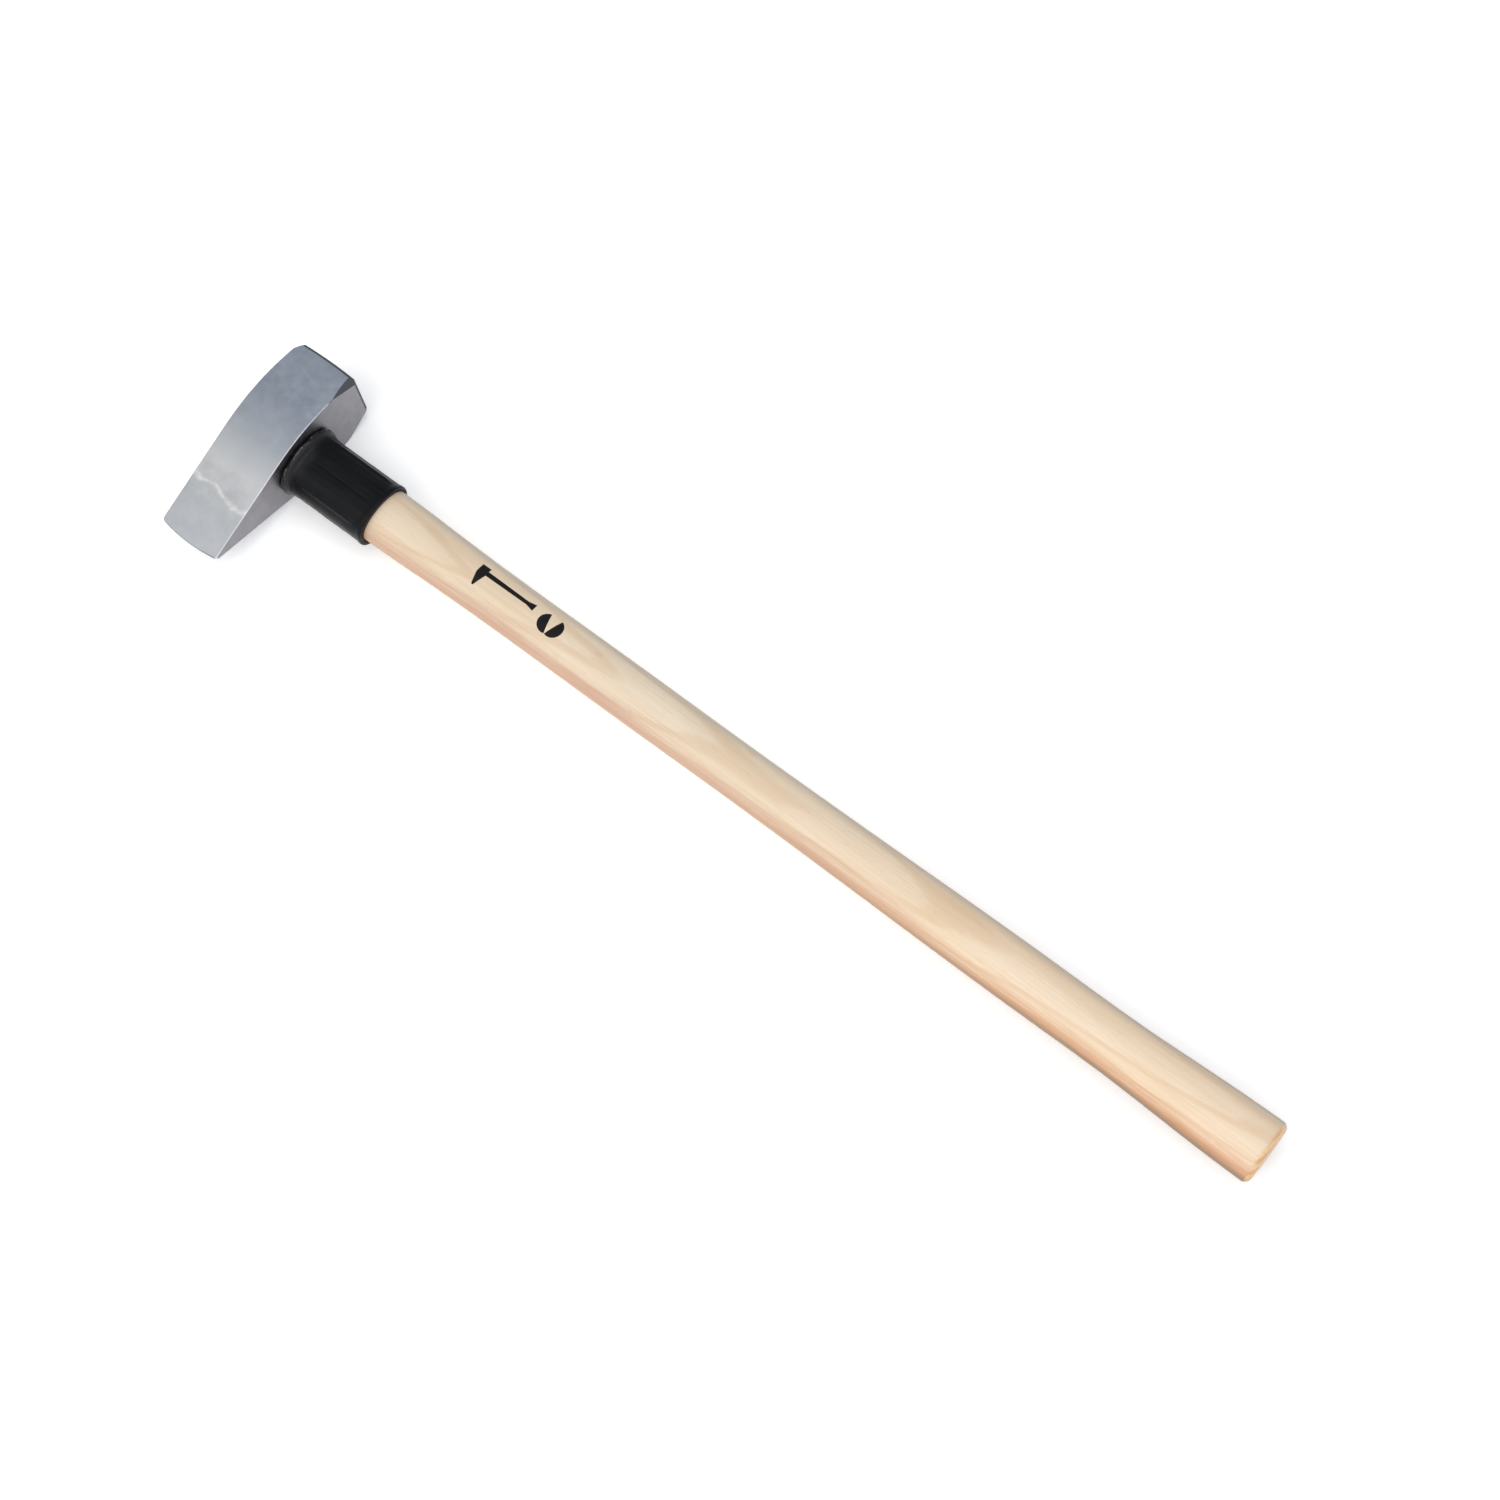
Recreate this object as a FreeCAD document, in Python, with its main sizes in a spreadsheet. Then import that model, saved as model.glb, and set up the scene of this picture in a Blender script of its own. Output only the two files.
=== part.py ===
"""Splitting maul: a forged steel wedge head on an oval hickory handle.

Millimetres. The maul lies on its cheek. +X runs from the head along the handle to its grip end,
-Y is the cutting edge, +Y is the poll and +Z is up. The origin is under the middle of the whole
maul, on the surface it lies on. Every body is drawn about its own axis, which is the handle's:
local X is measured from the outer face of the head, where the end of the tenon shows, except in
the head, which is drawn about the middle of its depth so that it can be mirrored.
"""
import FreeCAD, Part
import os
import re
import Sketcher

os.makedirs("parts", exist_ok=True)
doc = FreeCAD.newDocument("splitting_maul")

# ---- driving dimensions -------------------------------------------------------------------
SIZES = [
    ("overall_length", 914.0, "outer face of the head to the grip end, a 36 inch maul"),
    # head
    ("head_depth", 54.0, "head along the handle"),
    ("edge_reach", 103.2, "handle axis to the middle of the cutting edge"),
    ("poll_reach", 66.0, "handle axis to the middle of the poll"),
    ("ridge_reach", 20.0, "handle axis to the thickest line of the cheeks"),
    ("cheek_half", 33.3, "half of the greatest thickness"),
    ("cheek_radius", 135.0, "bulge of each cheek, tangent to the flat flank"),
    ("edge_half", 0.8, "half of the blunted cutting edge"),
    ("edge_radius", 140.0, "curve of the cutting edge seen from the cheek"),
    ("edge_corner", 3.0, "rounding of the two corners of the cutting edge"),
    ("poll_crown", 360.0, "curve of the striking face seen from the cheek"),
    ("poll_bevel", 2.8, "bevel all round the striking face"),
    ("corner_bevel", 5.6, "width of the corner bevels at the poll"),
    ("inner_run", 26.0, "run of the two corner bevels on the handle side"),
    ("outer_run", 10.0, "run of the two corner bevels on the outer side"),
    ("rim_round", 1.0, "rounding of the edges between cheeks and flat faces"),
    # eye
    ("eye_long", 35.0, "eye at the handle side, along the head"),
    ("eye_short", 24.0, "eye at the handle side, across the head"),
    ("eye_flare", 3.0, "extra length and width at the outer face, which locks the tenon"),
    ("eye_mouth", 0.8, "bevel round the outer mouth of the eye"),
    # handle ovals: width along Y, thickness along Z
    ("shoulder_length", 16.0, "tapered shoulder between the tenon and the seat"),
    ("seat_width", 45.2, "oval that carries the sleeve"),
    ("seat_thick", 30.0, "oval that carries the sleeve"),
    ("neck_run", 58.5, "neck station, from the end of the sleeve"),
    ("neck_width", 42.9, "neck oval"),
    ("neck_thick", 29.4, "neck oval"),
    ("waist_run", 113.5, "waist station, from the end of the sleeve"),
    ("waist_width", 41.0, "waist oval"),
    ("waist_thick", 28.8, "waist oval"),
    ("shaft_run", 218.5, "upper shaft station, from the end of the sleeve"),
    ("shaft_width", 40.8, "upper shaft oval"),
    ("shaft_thick", 28.6, "upper shaft oval"),
    ("slim_width", 39.8, "slimmest oval, half way between the upper shaft and the belly"),
    ("slim_thick", 28.4, "slimmest oval"),
    ("belly_back", 314.0, "belly station, back from the grip end"),
    ("belly_width", 41.6, "belly oval"),
    ("belly_thick", 29.4, "belly oval"),
    ("grip_back", 184.0, "grip station, back from the grip end"),
    ("grip_width", 43.1, "grip oval"),
    ("grip_thick", 30.2, "grip oval"),
    ("wrist_back", 114.0, "where the end swell begins, back from the grip end"),
    ("wrist_width", 43.2, "oval where the end swell begins"),
    ("wrist_thick", 30.4, "oval where the end swell begins"),
    ("flare_back", 69.0, "half way up the end swell, back from the grip end"),
    ("flare_width", 46.3, "oval half way up the end swell"),
    ("flare_thick", 32.2, "oval half way up the end swell"),
    ("heel_back", 34.0, "where the end swell levels out, back from the grip end"),
    ("heel_width", 48.6, "oval where the end swell levels out"),
    ("heel_thick", 33.6, "oval where the end swell levels out"),
    ("butt_width", 49.4, "oval of the grip end"),
    ("butt_thick", 34.0, "oval of the grip end"),
    ("butt_round", 5.0, "rounding of the grip end"),
    # tenon and wedges
    ("tenon_recess", 0.6, "end of the tenon below the head's outer face"),
    ("wood_fit", 0.05, "clearance all round between pieces that are driven or glued together"),
    ("kerf_depth", 42.0, "saw kerf from the head's outer face"),
    ("wedge_thick", 7.0, "wooden wedge at its driven end"),
    ("wedge_tip", 1.6, "wooden wedge at its thin end"),
    ("wedge_length", 38.0, "wooden wedge along the handle"),
    ("wedge_side_gap", 1.0, "wooden wedge to the wall of the eye at each end"),
    ("steel_length", 26.0, "steel wedge along the handle"),
    ("steel_width", 18.0, "steel wedge across the head"),
    ("steel_thick", 3.6, "steel wedge at its driven end"),
    ("steel_tip", 0.8, "steel wedge at its thin end"),
    ("steel_pitch", 18.0, "distance between the two steel wedges"),
    # overstrike sleeve
    ("sleeve_length", 74.5, "sleeve along the handle"),
    ("sleeve_wall", 3.3, "sleeve wall at the sides"),
    ("sleeve_crown", 4.4, "sleeve wall on the broad sides"),
    ("lip_length", 4.5, "thick part of the head-end lip"),
    ("lip_slope", 5.0, "slope from the lip down to the wall"),
    ("lip_side", 2.6, "lip standing out of the wall at the sides"),
    ("lip_crown", 4.4, "lip standing out of the wall on the broad sides"),
    ("hem_length", 3.0, "thicker hem at the handle end"),
    ("hem_stand", 0.6, "hem standing out of the wall"),
    ("lip_round", 1.4, "rounding of the lip's rim"),
    ("hem_round", 0.5, "rounding of the hem's rim"),
    # sealant
    ("bead_gap", 3.0, "gap between the head and the sleeve, which the sealant fills"),
    ("bead_side", 2.0, "sealant standing out of the sleeve's wall line at the sides"),
    ("bead_crown", 4.2, "sealant standing out of the wall line on the broad sides"),
    ("bead_collar", 5.0, "how far the sealant runs inside the sleeve"),
    ("bead_round", 0.9, "rounding of the bead"),
]
sheet = doc.addObject("Spreadsheet::Sheet", "Sizes")
value = {}
for row, (alias, size, meaning) in enumerate(SIZES, start=1):
    sheet.set("A%d" % row, meaning)
    sheet.set("B%d" % row, str(size))
    sheet.setAlias("B%d" % row, alias)
    value[alias] = size
doc.recompute()

NEAR = 1e-3          # lengths closer than this are the same, in millimetres
RIM_SHARE = 0.8      # the most of the half edge that the rim rounding may take
STEEL_SIDES = ((-1, "edge_side_wedge"), (1, "poll_side_wedge"))
TIGHT = " - wood_fit * 2"
LOOSE = " + wood_fit * 2"

# ovals given as (station, width, thickness) that several pieces share
EYE = [
    ("0", "eye_long + eye_flare", "eye_short + eye_flare"),
    ("head_depth", "eye_long", "eye_short"),
]
SHOULDER = [
    ("head_depth", "eye_long", "eye_short"),
    ("head_depth + shoulder_length", "seat_width", "seat_thick"),
]
SLEEVE_START = "head_depth + bead_gap"
SLEEVE_END = "head_depth + bead_gap + sleeve_length"
RUBBER_WALL = ("seat_width + sleeve_wall * 2", "seat_thick + sleeve_crown * 2")


# ---- helpers ------------------------------------------------------------------------------
def bound(formula):
    """A formula in the sheet's own words, written as the document's expressions need it."""
    return re.sub(r"[a-z_]+", lambda word: "Sizes." * (word.group() in value) + word.group(), formula)


def origin_plane(body, role):
    return [item for item in body.Origin.OriginFeatures if item.Role == role][0]


def new_body(label, axial="0"):
    """A body whose local X axis is the handle's axis, lifted into the maul's own frame."""
    body = doc.addObject("PartDesign::Body", label)
    body.Label = label
    body.setExpression("Placement.Base.x", bound(axial + " - overall_length / 2"))
    body.setExpression("Placement.Base.y", bound("(edge_reach - poll_reach) / 2"))
    body.setExpression("Placement.Base.z", bound("cheek_half"))
    return body


def new_sketch(body, name, role, offset=None):
    """A sketch on one of the body's own origin planes, or parallel to it at an offset."""
    sketch = body.newObject("Sketcher::SketchObject", name)
    sketch.AttachmentSupport = [(origin_plane(body, role), "")]
    sketch.MapMode = "FlatFace"
    if offset:
        sketch.setExpression("AttachmentOffset.Base.z", bound(offset))
    return sketch


def join(sketch, pairs):
    """Make line ends meet: each pair is (first curve, its end, second curve, its end)."""
    for pair in pairs:
        sketch.addConstraint(Sketcher.Constraint("Coincident", *pair))


def hold(sketch, kind, where, start, formula):
    """Add a size constraint and bind it to the sheet; start is the value it is drawn with."""
    index = sketch.addConstraint(Sketcher.Constraint(kind, *where, start))
    sketch.setExpression("Constraints[%d]" % index, bound(formula))


def point(across, up):
    return FreeCAD.Vector(across, up, 0)


def closed_outline(sketch, corners):
    """Straight lines from corner to corner, joined end to end."""
    count = len(corners)
    for index in range(count):
        sketch.addGeometry(Part.LineSegment(corners[index], corners[(index + 1) % count]), False)
    join(sketch, [(index, 2, (index + 1) % count, 1) for index in range(count)])


def oval_section(body, name, station, width, thick):
    """An ellipse across the handle's axis: width along Y and thickness along Z."""
    sketch = new_sketch(body, name, "YZ_Plane", station)
    start_major, start_minor = value["butt_width"], value["butt_thick"] / 2
    sketch.addGeometry(Part.Ellipse(point(0, 0), start_major, start_minor), False)
    sketch.exposeInternalGeometry(0)
    oval, major, minor = range(3)
    join(sketch, [(oval, 3, -1, 1)])
    sketch.addConstraint(Sketcher.Constraint("Horizontal", major))
    hold(sketch, "Distance", (major,), 2 * start_major, width)
    hold(sketch, "Distance", (minor,), 2 * start_minor, thick)
    return sketch


def block_section(body, name, station, width, thick, centre):
    """A rectangle across the handle's axis: width along Y, thickness along Z."""
    sketch = new_sketch(body, name, "YZ_Plane", station)
    closed_outline(sketch, [point(-1, -1), point(1, -1), point(1, 1), point(-1, 1)])
    bottom, right, top, left = range(4)
    for line, way in ((bottom, "Horizontal"), (right, "Vertical"), (top, "Horizontal"), (left, "Vertical")):
        sketch.addConstraint(Sketcher.Constraint(way, line))
    middle = sketch.addGeometry(Part.Point(point(0, 0)), True)
    sketch.addConstraint(Sketcher.Constraint("Symmetric", bottom, 1, top, 1, middle, 1))
    sketch.addConstraint(Sketcher.Constraint("PointOnObject", middle, 1, -1))
    hold(sketch, "DistanceX", (-1, 1, middle, 1), 0.0, centre)
    hold(sketch, "DistanceX", (bottom, 1, bottom, 2), 2.0, width)
    hold(sketch, "DistanceY", (right, 1, right, 2), 2.0, thick)
    return sketch


def finish_feature(body, feature):
    body.Tip = feature
    doc.recompute()
    return feature


def loft(body, name, sections, cut=False, ruled=True):
    """A loft through the sections in order, added to the body or cut from it."""
    kind = "PartDesign::SubtractiveLoft" if cut else "PartDesign::AdditiveLoft"
    feature = body.newObject(kind, name)
    feature.Profile = sections[0]
    feature.Sections = sections[1:]
    feature.Ruled = ruled
    return finish_feature(body, feature)


def oval_loft(body, name, sections, fit="", cut=False, ruled=True):
    """A loft through ovals given as (station, width, thickness), grown or shrunk by a fit."""
    sketches = []
    for index, (station, width, thick) in enumerate(sections):
        label = "%s_%d" % (name, index)
        sketches.append(oval_section(body, label, station, width + fit, thick + fit))
    return loft(body, name, sketches, cut, ruled)


def block_loft(body, name, sections, fit="", cut=False):
    """A loft through rectangles given as (station, width, thickness, centre), with a fit."""
    sketches = []
    for index, (station, width, thick, centre) in enumerate(sections):
        label = "%s_%d" % (name, index)
        sketches.append(block_section(body, label, station, width + fit, thick + fit, centre))
    return loft(body, name, sketches, cut)


def edges_where(feature, keep):
    """Names of the feature's edges that the test accepts."""
    return ["Edge%d" % index for index, edge in enumerate(feature.Shape.Edges, start=1) if keep(edge)]


def dress(body, name, kind, base, edges, size):
    """A PartDesign fillet or chamfer on the named edges."""
    feature = body.newObject("PartDesign::" + kind, name)
    feature.Base = (base, edges)
    feature.setExpression("Radius" if kind == "Fillet" else "Size", bound(size))
    return finish_feature(body, feature)


def lies_across(edge, station):
    """True for an edge that lies in one plane across the handle's axis."""
    box = edge.BoundBox
    return abs(box.XMin - station) < NEAR and abs(box.XMax - station) < NEAR


# ---- head ---------------------------------------------------------------------------------
def wedge_profile(body):
    """The head seen along the handle: two cheek arcs, two flat flanks, a poll and an edge."""
    sketch = new_sketch(body, "wedge_profile", "YZ_Plane")
    edge, poll, ridge = value["edge_reach"], value["poll_reach"], value["ridge_reach"]
    half, radius, blunt = value["cheek_half"], value["cheek_radius"], value["edge_half"]
    hip = 2 * ridge - poll
    brow_half = half - radius + (radius ** 2 - (poll - ridge) ** 2) ** 0.5
    for side in (1, -1):
        start = point(hip, side * brow_half)
        end = point(poll, side * brow_half)
        sketch.addGeometry(Part.LineSegment(point(-edge, side * blunt), start), False)
        sketch.addGeometry(Part.Arc(start, point(ridge, side * half), end), False)
    sketch.addGeometry(Part.LineSegment(point(-edge, blunt), point(-edge, -blunt)), False)
    sketch.addGeometry(Part.LineSegment(point(poll, brow_half), point(poll, -brow_half)), False)
    upper_flank, upper_cheek, lower_flank, lower_cheek, edge_line, poll_line = range(6)
    # arcs run anticlockwise, so the upper cheek starts at the poll and the lower one ends there
    join(sketch, [
        (upper_flank, 1, edge_line, 1), (lower_flank, 1, edge_line, 2),
        (upper_cheek, 1, poll_line, 1), (lower_cheek, 2, poll_line, 2),
    ])
    sketch.addConstraint(Sketcher.Constraint("Tangent", upper_flank, 2, upper_cheek, 2))
    sketch.addConstraint(Sketcher.Constraint("Tangent", lower_flank, 2, lower_cheek, 1))
    sketch.addConstraint(Sketcher.Constraint("Vertical", poll_line))
    sketch.addConstraint(Sketcher.Constraint("Symmetric", edge_line, 1, edge_line, 2, -1))
    hold(sketch, "Distance", (edge_line,), 2 * blunt, "edge_half * 2")
    hold(sketch, "DistanceX", (edge_line, 1, -1, 1), edge, "edge_reach")
    hold(sketch, "DistanceX", (-1, 1, poll_line, 1), poll, "poll_reach")
    for cheek, rise in ((upper_cheek, (upper_cheek, 3, -1, 1)), (lower_cheek, (-1, 1, lower_cheek, 3))):
        hold(sketch, "Radius", (cheek,), radius, "cheek_radius")
        hold(sketch, "DistanceX", (-1, 1, cheek, 3), ridge, "ridge_reach")
        hold(sketch, "DistanceY", rise, radius - half, "cheek_radius - cheek_half")
    return sketch


def trim_end(body, name, radius, reach, side):
    """Cut the body outside a wide arc that bulges to the given reach on the -Y or +Y side."""
    trim = new_sketch(body, name + "_outline", "XY_Plane")
    bow, tip, half = value[radius], value[reach], value["head_depth"]
    foot = side * (tip - bow + (bow ** 2 - half ** 2) ** 0.5)
    far = side * 2 * tip
    start, finish = point(side * half, foot), point(-side * half, foot)
    trim.addGeometry(Part.Arc(start, point(0, side * tip), finish), False)
    trim.addGeometry(Part.LineSegment(finish, point(finish.x, far)), False)
    trim.addGeometry(Part.LineSegment(point(finish.x, far), point(start.x, far)), False)
    trim.addGeometry(Part.LineSegment(point(start.x, far), start), False)
    arc, leaving, back, coming = range(4)
    join(trim, [(arc, 2, leaving, 1), (leaving, 2, back, 1), (back, 2, coming, 1), (coming, 2, arc, 1)])
    for line, way in ((leaving, "Vertical"), (back, "Horizontal"), (coming, "Vertical")):
        trim.addConstraint(Sketcher.Constraint(way, line))
    trim.addConstraint(Sketcher.Constraint("PointOnObject", arc, 3, -2))
    trim.addConstraint(Sketcher.Constraint("Symmetric", arc, 1, arc, 2, -2))
    centre, end = ((arc, 3, -1, 1), (-1, 1, back, 1)) if side > 0 else ((-1, 1, arc, 3), (back, 1, -1, 1))
    hold(trim, "Radius", (arc,), bow, radius)
    hold(trim, "DistanceY", centre, bow - tip, "%s - %s" % (radius, reach))
    hold(trim, "Distance", (back,), 2 * half, "head_depth * 2")
    hold(trim, "DistanceY", end, 2 * tip, "%s * 2" % reach)
    pocket = body.newObject("PartDesign::Pocket", name)
    pocket.Profile = trim
    pocket.Type = "ThroughAll"
    pocket.SideType = "Symmetric"
    return finish_feature(body, pocket)


def corner_section(body, name, side, back, width):
    """The waste triangle over one long corner, a distance back from the poll."""
    station = "poll_reach - " + back
    sketch = new_sketch(body, name, "XZ_Plane", "0 - (%s)" % station)
    reach, top = value["head_depth"], value["cheek_half"] * 2
    closed_outline(sketch, [point(side * reach, top), point(0, top), point(side * reach, 0)])
    lid, slope, wall = range(3)
    sketch.addConstraint(Sketcher.Constraint("Horizontal", lid))
    sketch.addConstraint(Sketcher.Constraint("Vertical", wall))
    cheek = "cheek_half - cheek_radius + sqrt(cheek_radius ^ 2 - (%s - ridge_reach) ^ 2)" % station
    leg = width + " + 2 * corner_bevel"
    across = (-1, 1, lid, 1) if side > 0 else (lid, 1, -1, 1)
    hold(sketch, "DistanceX", across, reach, "head_depth / 2 + corner_bevel")
    hold(sketch, "DistanceY", (-1, 1, lid, 1), top, cheek + " + corner_bevel")
    hold(sketch, "Distance", (lid,), reach, leg)
    hold(sketch, "Distance", (wall,), top, leg)
    return sketch


def bevel_corners(body, name, side, run):
    """Bevels on the two poll corners of one flat face, widest at the striking face."""
    sections = [
        corner_section(body, name + "_at_poll", side, "0", "corner_bevel"),
        corner_section(body, name + "_run_out", side, run, "0"),
    ]
    cut = loft(body, name + "_upper", sections, cut=True)
    mirror = body.newObject("PartDesign::Mirrored", name + "_both")
    mirror.Originals = [cut]
    mirror.MirrorPlane = (origin_plane(body, "XY_Plane"), [""])
    return finish_feature(body, mirror)


def make_head():
    """Forged wedge: curved cheeks, crowned poll, curved edge, bevelled corners, tapered eye."""
    body = new_body("head", "head_depth / 2")
    side = value["head_depth"] / 2
    blank = body.newObject("PartDesign::Pad", "forged_blank")
    blank.Profile = wedge_profile(body)
    blank.SideType = "Symmetric"
    blank.setExpression("Length", bound("head_depth"))
    finish_feature(body, blank)

    # seen from the cheek, the cutting edge and the striking face both bulge in the middle
    trim_end(body, "curved_edge", "edge_radius", "edge_reach", -1)
    crowned = trim_end(body, "crowned_poll", "poll_crown", "poll_reach", 1)
    striking = max(crowned.Shape.Faces, key=lambda face: face.CenterOfMass.y)
    rim = edges_where(crowned, lambda item: any(item.isSame(other) for other in striking.Edges))
    bevelled = dress(body, "poll_rim", "Chamfer", crowned, rim, "poll_bevel")

    # the two corners of the cutting edge, then the long rims of both flat faces
    def on_flat_face(item):
        return lies_across(item, side) or lies_across(item, -side)

    def upright(item):
        return item.BoundBox.YLength < NEAR and item.BoundBox.YMax < 0

    corners = edges_where(bevelled, lambda item: on_flat_face(item) and upright(item))
    rounded = dress(body, "edge_corners", "Fillet", bevelled, corners, "edge_corner")
    rims = edges_where(rounded, lambda item: on_flat_face(item) and item.BoundBox.YLength > NEAR)
    rim_size = "min(rim_round; edge_half * %s)" % RIM_SHARE
    dress(body, "soft_rims", "Fillet", rounded, rims, rim_size)
    bevel_corners(body, "inner_bevel", 1, "inner_run")
    bevel_corners(body, "outer_bevel", -1, "outer_run")

    # tapered oval eye, wider at the outer face
    outer, inner = EYE
    eye = [
        oval_section(body, "eye_outer", "0 - head_depth / 2", *outer[1:]),
        oval_section(body, "eye_inner", "head_depth / 2", *inner[1:]),
    ]
    socket = loft(body, "eye", eye, cut=True)
    outer_face = [face for face in socket.Shape.Faces if lies_across(face, -side)][0]
    opening = min(outer_face.Wires, key=lambda wire: wire.BoundBox.YLength)
    mouth = edges_where(socket, lambda item: any(item.isSame(other) for other in opening.Edges))
    dress(body, "eye_mouth", "Chamfer", socket, mouth, "eye_mouth")
    return body


# ---- handle -------------------------------------------------------------------------------
def steel_sections(side):
    """One steel wedge, driven across the wooden one from the end of the tenon."""
    centre = "%d * steel_pitch / 2" % side
    return [
        ("tenon_recess", "steel_thick", "steel_width", centre),
        ("tenon_recess + steel_length", "steel_tip", "steel_width", centre),
    ]


def cut_steel_slots(body):
    for side, name in STEEL_SIDES:
        block_loft(body, "slot_for_" + name, steel_sections(side), LOOSE, cut=True)


def trim_tenon(body):
    """Cut the tenon back below the outer face of the head."""
    across = "(eye_long + eye_flare) * 2"
    pocket = body.newObject("PartDesign::Pocket", "tenon_end")
    pocket.Profile = block_section(body, "tenon_end_outline", "0", across, across, "0")
    pocket.Reversed = True
    pocket.setExpression("Length", bound("tenon_recess"))
    return finish_feature(body, pocket)


def make_handle():
    """Oval hickory handle: wedged tenon, shoulder, sleeve seat, shaft and swollen grip end."""
    body = new_body("handle")
    oval_loft(body, "tenon", EYE, TIGHT)
    trim_tenon(body)
    oval_loft(body, "shoulder", SHOULDER, TIGHT)
    seat = [(station, "seat_width", "seat_thick") for station in (SHOULDER[-1][0], SLEEVE_END)]
    oval_loft(body, "seat", seat, TIGHT)
    ovals = [seat[-1]]
    for place in ("neck", "waist", "shaft"):
        ovals.append(("%s + %s_run" % (SLEEVE_END, place), place + "_width", place + "_thick"))
    halfway = "(%s + shaft_run + overall_length - belly_back) / 2" % SLEEVE_END
    ovals.append((halfway, "slim_width", "slim_thick"))
    for place in ("belly", "grip", "wrist", "flare", "heel"):
        ovals.append(("overall_length - %s_back" % place, place + "_width", place + "_thick"))
    ovals.append(("overall_length", "butt_width", "butt_thick"))
    shaft = oval_loft(body, "shaft", ovals, TIGHT, ruled=False)
    butt = edges_where(shaft, lambda item: lies_across(item, value["overall_length"]))
    dress(body, "butt_rounding", "Fillet", shaft, butt, "butt_round")

    # the saw kerf has the wooden wedge's taper and runs past both sides of the tenon
    across = "eye_long + eye_flare * 2"
    kerf = [("0", across, "wedge_thick", "0"), ("kerf_depth", across, "wedge_tip", "0")]
    block_loft(body, "kerf", kerf, cut=True)
    cut_steel_slots(body)
    return body


# ---- wedges -------------------------------------------------------------------------------
def make_wooden_wedge():
    """Hardwood wedge that spreads the tenon across the head."""
    body = new_body("wooden_wedge")
    sections = []
    for station, eye, taper in (("tenon_recess", "eye_long + eye_flare", "0"),
                                ("tenon_recess + wedge_length", "eye_long", "1")):
        sections.append((station, eye + " - wedge_side_gap * 2",
                         "wedge_thick - (wedge_thick - wedge_tip) * %s" % taper, "0"))
    block_loft(body, "wedge", sections, TIGHT)
    cut_steel_slots(body)
    return body


def make_steel_wedge(side, name):
    """Steel wedge across the wooden one."""
    body = new_body(name)
    block_loft(body, "blade", steel_sections(side))
    return body


# ---- overstrike sleeve and sealant --------------------------------------------------------
def standing_out(stations):
    """Ring sections at (station, how far out at the sides, how far out on the broad sides)."""
    width, thick = RUBBER_WALL
    return [(station, "%s + (%s) * 2" % (width, aside), "%s + (%s) * 2" % (thick, above))
            for station, aside, above in stations]


def make_sleeve():
    """Moulded rubber sleeve: a lip at the head, a plain wall and a thicker hem."""
    body = new_body("overstrike_sleeve")
    outside = standing_out([
        (SLEEVE_START, "lip_side - lip_round", "lip_crown - lip_round"),
        (SLEEVE_START + " + lip_round", "lip_side", "lip_crown"),
        (SLEEVE_START + " + lip_length", "lip_side", "lip_crown"),
        (SLEEVE_START + " + lip_length + lip_slope", "0", "0"),
        (SLEEVE_END + " - hem_length - hem_stand", "0", "0"),
        (SLEEVE_END + " - hem_length", "hem_stand", "hem_stand"),
        (SLEEVE_END + " - hem_round", "hem_stand", "hem_stand"),
        (SLEEVE_END, "hem_stand - hem_round", "hem_stand - hem_round"),
    ])
    oval_loft(body, "moulding", outside)
    bore = [(station, "seat_width", "seat_thick") for station in (SLEEVE_START, SLEEVE_END)]
    oval_loft(body, "bore", bore, cut=True)
    return body


def make_bead():
    """Sealant squeezed out between the head and the sleeve, with the collar it leaves inside."""
    body = new_body("sealant_bead")
    ring = standing_out([
        ("head_depth", "bead_side - bead_round", "bead_crown - bead_round"),
        ("head_depth + bead_round", "bead_side", "bead_crown"),
        (SLEEVE_START + " - bead_round", "bead_side", "bead_crown"),
        (SLEEVE_START, "bead_side - bead_round", "bead_crown - bead_round"),
    ])
    oval_loft(body, "ring", ring)
    collar_ends = (SLEEVE_START, SLEEVE_START + " + bead_collar")
    collar = [(station, "seat_width", "seat_thick") for station in collar_ends]
    oval_loft(body, "collar", collar, TIGHT)
    oval_loft(body, "clear_of_shoulder", SHOULDER, cut=True)
    return body


# ---- build and write ----------------------------------------------------------------------
parts = [make_head(), make_handle(), make_wooden_wedge()]
parts += [make_steel_wedge(side, name) for side, name in STEEL_SIDES]
parts += [make_sleeve(), make_bead()]
doc.recompute()

for item in doc.Objects:
    if "Invalid" in item.State or "Error" in item.State:
        raise RuntimeError("%s failed: %s" % (item.Name, item.State))
for body in parts:
    if body.Shape.isNull() or not body.Shape.isValid() or len(body.Shape.Solids) != 1:
        raise RuntimeError("%s is not one valid solid" % body.Label)
for body in parts:
    body.Shape.exportStep("parts/%s.step" % body.Label)
    print("%-18s %9.1f mm3" % (body.Label, body.Shape.Volume))
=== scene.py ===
# %% [markdown]
# # A splitting maul
# A splitting maul is a blunt steel wedge on a long hickory handle, made to burst logs apart.
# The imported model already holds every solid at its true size, so this lesson works on what the
# eye meets: ground steel, lacquered wood, moulded rubber and a squeezed-out roll of black sealant.
# Solids whose shape is right keep their mesh and get a better surface. The two soft black
# pieces are built again, because their seams and lumps are too fine for a design solid.
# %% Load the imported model
import math

import bmesh
import bpy
from mathutils import Matrix, Vector, noise
from mathutils.bvhtree import BVHTree


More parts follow.
